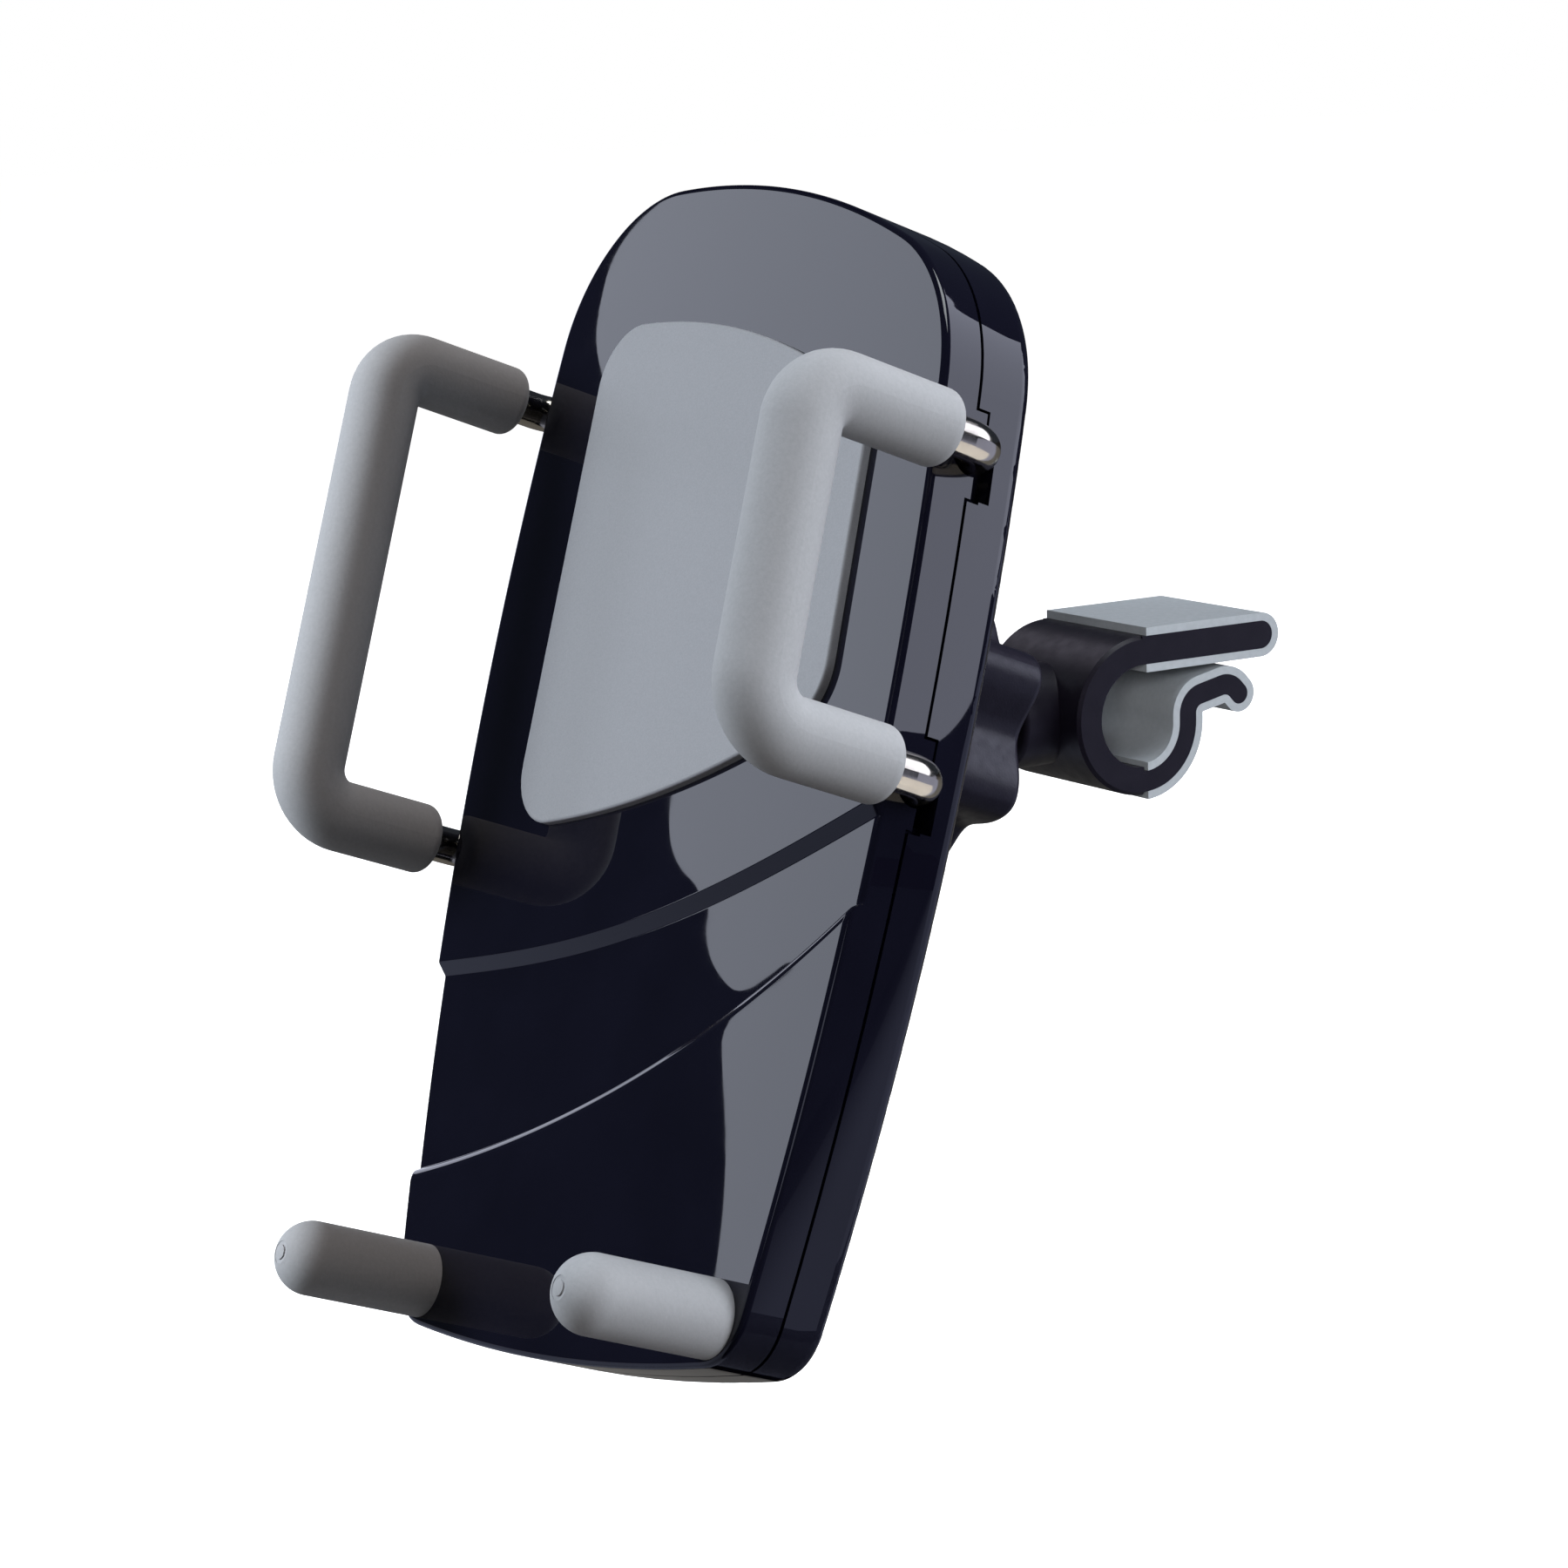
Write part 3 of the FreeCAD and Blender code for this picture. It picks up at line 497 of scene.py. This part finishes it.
def bore_rods(piece):
    """Round holes for the four rods through the shell's side walls."""
    bm = bmesh.new()
    turns = [2 * math.pi * k / BORE_STEPS for k in range(BORE_STEPS)]
    circle = [(BORE_RADIUS * math.cos(a), BORE_RADIUS * math.sin(a)) for a in turns]
    for side, z in RODS:
        rings = []
        for x in BORE_SPAN:
            rings.append([bm.verts.new((side * x, ROD_Y + u, z + v)) for u, v in circle])
        block(bm, rings)
    bmesh.ops.recalc_face_normals(bm, faces=bm.faces)
    cutter = from_bmesh("rod_bores", bm)
    cut = piece.modifiers.new("bores", "BOOLEAN")
    cut.operation = "DIFFERENCE"
    cut.solver = "EXACT"
    cut.use_self = True
    cut.object = cutter
    done = piece.evaluated_get(bpy.context.evaluated_depsgraph_get())
    mesh = bpy.data.meshes.new_from_object(done)
    piece.modifiers.clear()
    piece.data = mesh
    bpy.data.objects.remove(cutter)


def front_shell_piece():
    bm = face_mesh()
    step_out(bm, 0.0)
    for inset, y in (
        (0.0, SEAM - EDGE_ROW),
        (0.0, SEAM),
        (GROOVE_DEPTH, SEAM),
        (GROOVE_DEPTH, GROOVE_END),
        (GROOVE_DEPTH + WALL, GROOVE_END),
        (GROOVE_DEPTH + WALL, FACE_BACK),
    ):
        step_out(bm, inset, y)
    bmesh.ops.edgeloop_fill(bm, edges=rim(bm))
    for side, z in RODS:
        tongue(bm, side, z, z + TONGUE, TONGUE_END)
        tongue(bm, side, z - TONGUE, z, SLOT_START)
    bmesh.ops.recalc_face_normals(bm, faces=bm.faces)
    piece = from_bmesh("front_shell_skin", bm)
    bore_rods(piece)
    for v in piece.data.vertices:
        v.co = in_row(v.co)
    piece.data.shade_smooth()
    piece.data.set_sharp_from_angle(angle=SHARP)
    dress(piece, "gloss_black")
    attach(piece, "cradle")
    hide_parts("front_shell")


front_shell_piece()


# The studio, in metres in the row frame. The cards' places and outlines are in mm.

# The photograph's camera. BACK points from the object to the camera
CAMERA = Vector((282.049, -219.357, 56.525)) * MM
RIGHT = Vector((0.534, 0.845, -0.031)).normalized()
BACK = RIGHT.cross(Vector((-0.142, 0.126, 0.982))).normalized()
UP = BACK.cross(RIGHT).normalized()
SENSOR_WIDTH, LENS = 36.0, 88.48
NEAR, FAR = 0.01, 50.0

# The middle of the object, which the lamps are placed around
CENTRE = Vector((0, -45, -10)) * MM
# Just right of the jaws' mouth, which a small lamp aims at
JAWS = Vector((10, 0, 0)) * MM

WHITE = (1.0, 1.0, 1.0)
WORLD_FILL, WORLD_FILL_TINT = 0.06, (1.0, 0.90, 0.82)
WORLD_GLOSS, WORLD_GLOSS_TINT = 0.045, (0.6, 0.72, 1.0)

FLOOR_GAP = 0.06
FLOOR_Z = cad_box[0][2] - FLOOR_GAP
FLOOR_SIZE = 12.0
FLOOR_COLOUR = (0.8, 0.8, 0.8)
FLOOR_LIFT = 0.96
FLOOR_UNSEEN = (0.14, 0.13, 0.12)
# In mm: the cards below the object lie 1 mm above the floor
CARDS_Z = FLOOR_Z / MM + 1

# In the photo the left sleeve and foot are much darker than the right ones, so
# they have lamps of their own
LEFT_GRIPS = ["left_sleeve", "left_foot"]
CLIP_PIECES = ["clip_body", "upper_jaw_pad", "lower_jaw_pad", "ball_stud", "slip_ring"]


def matrix(x, y, z, at):
    m = Matrix((x, y, z)).transposed().to_4x4()
    m.translation = at
    return m


def make_camera():
    data = bpy.data.cameras.new("camera")
    data.sensor_width = SENSOR_WIDTH
    data.lens = LENS
    data.clip_start = NEAR
    data.clip_end = FAR
    cam = new_object("camera", data)
    cam.matrix_world = matrix(RIGHT, UP, BACK, CAMERA)
    bpy.context.scene.camera = cam


def mix(tree, ray, otherwise, shader):
    """One shader for this kind of ray, and the other one otherwise."""
    n = node(tree, "MixShader")
    path = node(tree, "LightPath")
    tree.links.new(path.outputs[ray], n.inputs["Fac"])
    tree.links.new(otherwise.outputs[0], n.inputs[1])
    tree.links.new(shader.outputs[0], n.inputs[2])
    return n


def white_world():
    """White to the camera, a faint fill for the object and darker still in reflections."""
    world = bpy.data.worlds.new("studio")
    bpy.context.scene.world = world
    world.use_nodes = True
    t = world.node_tree
    t.nodes.clear()
    white = node(t, "Background", Color=colour(*WHITE), Strength=1.0)
    fill = node(t, "Background", Color=colour(*WORLD_FILL_TINT), Strength=WORLD_FILL)
    gloss = node(t, "Background", Color=colour(*WORLD_GLOSS_TINT), Strength=WORLD_GLOSS)
    unseen = mix(t, "Is Glossy Ray", fill, gloss)
    both = mix(t, "Is Camera Ray", unseen, white)
    t.links.new(both.outputs[0], node(t, "OutputWorld").inputs["Surface"])


def make_floor():
    """Pale to the camera, and dim to all other rays, so that it sends no light up."""
    bpy.ops.mesh.primitive_plane_add(size=FLOOR_SIZE, location=(0, 0, FLOOR_Z))
    floor = bpy.context.object
    floor.name = "floor"
    m = bpy.data.materials.new("pale_floor")
    m.use_nodes = True
    t = m.node_tree
    t.nodes.clear()
    matte = node(t, "BsdfDiffuse", Color=colour(*FLOOR_COLOUR))
    lift = node(t, "Emission", Strength=FLOOR_LIFT)
    pale = node(t, "AddShader")
    t.links.new(matte.outputs[0], pale.inputs[0])
    t.links.new(lift.outputs[0], pale.inputs[1])
    dim = node(t, "BsdfDiffuse", Color=colour(*FLOOR_UNSEEN))
    both = mix(t, "Is Camera Ray", dim, pale)
    t.links.new(both.outputs[0], node(t, "OutputMaterial").inputs["Surface"])
    floor.data.materials.append(m)


def reach(light, names, state="INCLUDE"):
    """Lets a light fall only on the named pieces, or on all but them."""
    group = bpy.data.collections.new(light.name + "_reach")
    for name in names:
        group.objects.link(bpy.data.objects[name])
    for entry in group.collection_objects:
        entry.light_linking.link_state = state
    light.light_linking.receiver_collection = group


def lamp(name, place, width, power, tint, height=None, glossy=False, target=CENTRE):
    """An area lamp at a place from the centre, square where no height is given."""
    light = bpy.data.lights.new(name, "AREA")
    light.shape = "RECTANGLE"
    light.size, light.size_y = width, height or width
    light.energy = power
    light.color = tint
    o = new_object(name, light)
    o.location = CENTRE + Vector(place)
    o.rotation_mode = "QUATERNION"
    o.rotation_quaternion = (target - o.location).to_track_quat("-Z", "Y")
    o.visible_glossy = glossy
    return o


def make_lamps():
    key = lamp("key", (-0.5, -0.76, 0.4), 0.45, power=8.6, tint=(0.92, 1.0, 1.07))
    left_key = lamp("left_key", (-0.42, -0.85, 0.4), 0.45, power=12.5, tint=(0.93, 1.0, 1.06))
    top = lamp("top", (0.15, 0.15, 0.95), 0.5, power=4.3, tint=(0.95, 1.0, 1.05), glossy=True)
    left_top = lamp("left_top", (0.3, -0.1, 0.92), 0.5, power=2.2, tint=(1.0, 0.90, 0.83))
    right_back = lamp("right_back", (0.6, 0.36, 0.25), 0.5, power=4.4, tint=(0.95, 1.0, 1.06))
    warm_side = lamp("warm_side", (0.85, -0.35, 0.05), 0.5, power=0.35, tint=(1.0, 0.87, 0.76))
    jaws = lamp("clip_front", (0.18, -0.105, 0.065), 0.08, power=0.22, tint=WHITE, target=JAWS)
    lamp("back_rim", (-0.1, 0.85, 0.45), 0.6, power=3.0, tint=WHITE, height=0.4)
    for light in (key, top, right_back, warm_side):
        reach(light, LEFT_GRIPS, "EXCLUDE")
    for light in (left_key, left_top):
        reach(light, LEFT_GRIPS)
    reach(jaws, CLIP_PIECES)


def eased(points):
    """The outline with its corners cut twice, which makes it a smooth curve."""
    for _ in range(2):
        cut = []
        for (ax, ay), (bx, by) in zip(points, points[1:] + points[:1]):
            cut.append((0.75 * ax + 0.25 * bx, 0.75 * ay + 0.25 * by))
            cut.append((0.25 * ax + 0.75 * bx, 0.25 * ay + 0.75 * by))
        points = cut
    return points


def box(x0, x1, y0, y1):
    return [(x0, y0), (x1, y0), (x1, y1), (x0, y1)]


def card(name, corners, centre, x, y, strength, tint, fade=0):
    """A glowing card that only shows in glossy surfaces.

    Its corners are given along its axes x and y from the centre, all in mm. fade
    is the width of a strip above y = 0, over which its glow sets in.
    """
    bm = bmesh.new()
    bm.faces.new([bm.verts.new((u * MM, v * MM, 0)) for u, v in corners])
    o = from_bmesh(name, bm)
    x, y = Vector(x).normalized(), Vector(y).normalized()
    z = x.cross(y).normalized()
    o.matrix_world = matrix(x, z.cross(x), z, Vector(centre) * MM)
    m = bpy.data.materials.new(name)
    m.use_nodes = True
    t = m.node_tree
    t.nodes.clear()
    glow = node(t, "Emission", Color=colour(*tint), Strength=strength)
    t.links.new(glow.outputs[0], node(t, "OutputMaterial").inputs["Surface"])
    if fade:
        split = node(t, "SeparateXYZ")
        t.links.new(node(t, "TexCoord").outputs["Object"], split.inputs[0])
        soft = node(t, "MapRange", From_Max=fade * MM, To_Max=strength)
        soft.interpolation_type = "SMOOTHSTEP"
        t.links.new(split.outputs["Y"], soft.inputs["Value"])
        t.links.new(soft.outputs["Result"], glow.inputs["Strength"])
    o.data.materials.append(m)
    o.visible_camera = False
    o.visible_diffuse = False
    o.visible_shadow = False
    return o


# Its curved side gives the left edge of the pale reflection on the face
FACE_CARD = [
    (10, 250), (40, 182), (47, 175), (55, 165), (60, 153), (61, 138), (60, 125), (54, 112),
    (10, -2), (10, -14), (9, -21), (7, -28), (3, -34), (-3, -38), (-7, -44), (-7, -52),
    (-10, -60), (-14, -65), (-19, -69), (-24, -68), (-29, -63), (-35, -56), (-40, -57),
    (-30, -68), (-19, -80), (-22, -95), (-26, -111), (-29, -127), (-31, -145), (-32, -170),
    (-95, -170), (-95, 280),
]
# It gives the pale reflection on the right side wall, with its curved ends
SIDE_CARD = [
    (30, -140), (26, -135), (21, -134), (14, -131), (9, -121), (6, -108), (2, -86), (-2, -66),
    (-12, -52), (-60, -40), (-420, -40), (-420, 495), (-250, 508), (-258, 530), (-300, 607),
    (-371, 690), (-490, 830), (-440, 860), (-330, 690), (-215, 520), (-120, 395), (-48, 262),
    (-18, 182), (2, 100), (9, 45), (14, 13), (19, -19), (23, -60), (27, -93), (29, -114),
]


def make_cards():
    card(
        "face_card", eased(FACE_CARD), (-756.3, -503.6, 188.7),
        x=(-0.538, 0.7413, -0.4013), y=(-0.0435, 0.451, 0.8915),
        strength=2.12, tint=(0.91, 0.97, 1.13),
    )
    # For the rounded edge between the face and the side wall
    card(
        "edge_strip", box(-150, 150, -75, 75), (530, -560, 200),
        x=(0.73, 0.69, 0.0), y=(-0.17, 0.18, 0.97),
        strength=1.1, tint=(0.82, 0.86, 1.1),
    )
    nut_card = card(
        "nut_card", box(-120, 120, -90, 90), (640, 250, 560),
        x=(-0.36, 0.93, 0.0), y=(-0.61, -0.24, 0.75),
        strength=11.0, tint=(0.95, 0.97, 1.05),
    )
    # For the bright line along the second wave
    card(
        "lip_card", box(-270, 290, -115, 115), (-805, 25, 55),
        x=(0, 1, 0), y=(0, 0, 1),
        strength=1.8, tint=(0.88, 0.92, 1.1),
    )
    barrel_card = card(
        "barrel_card", box(-170, 170, -150, 150), (-640, 25, 470),
        x=(0, 1, 0), y=(0.59, 0, 0.81),
        strength=1.2, tint=(0.98, 0.93, 1.12),
    )
    reach(nut_card, ["ball_nut", "right_arm_rod"])
    reach(barrel_card, ["clip_body", "ball_stud"])
    card(
        "side_card", eased(SIDE_CARD), (509.8, 448.3, 164.9),
        x=(0.5936, -0.7003, 0.3964), y=(-0.4105, 0.1602, 0.8977),
        strength=2.5, tint=(0.90, 0.94, 1.14),
    )
    # These two give the side wall's lower part its two shades
    card(
        "floor_lit", [(0, 0), (3233, 0), (3610, 460), (1677, 2045)], (0, -152, CARDS_Z),
        x=(0.773, 0.634, 0), y=(-0.634, 0.773, 0),
        strength=0.56, tint=(0.65, 0.70, 1.0), fade=12,
    )
    card(
        "floor_dim", [(60, -97), (60, -1500), (2500, -1500), (2500, 1904)], (0, 0, CARDS_Z),
        x=(1, 0, 0), y=(0, 1, 0),
        strength=0.05, tint=(0.6, 0.7, 1.0),
    )
    rod_card = card(
        "rod_card", box(-10, 330, -150, 150), (0, 0, CARDS_Z),
        x=(0.848, -0.53, 0), y=(0.53, 0.848, 0),
        strength=1.25, tint=(1.0, 0.97, 0.94),
    )
    reach(rod_card, ["right_arm_rod"])
    # For the edge below the feet
    card(
        "floor_front", box(-600, 40, -900, -60), (0, 0, CARDS_Z),
        x=(1, 0, 0), y=(0, 1, 0),
        strength=0.48, tint=(0.64, 0.70, 0.95),
    )


make_camera()
white_world()
make_floor()
make_lamps()
make_cards()
bpy.context.scene.view_settings.view_transform = "Standard"
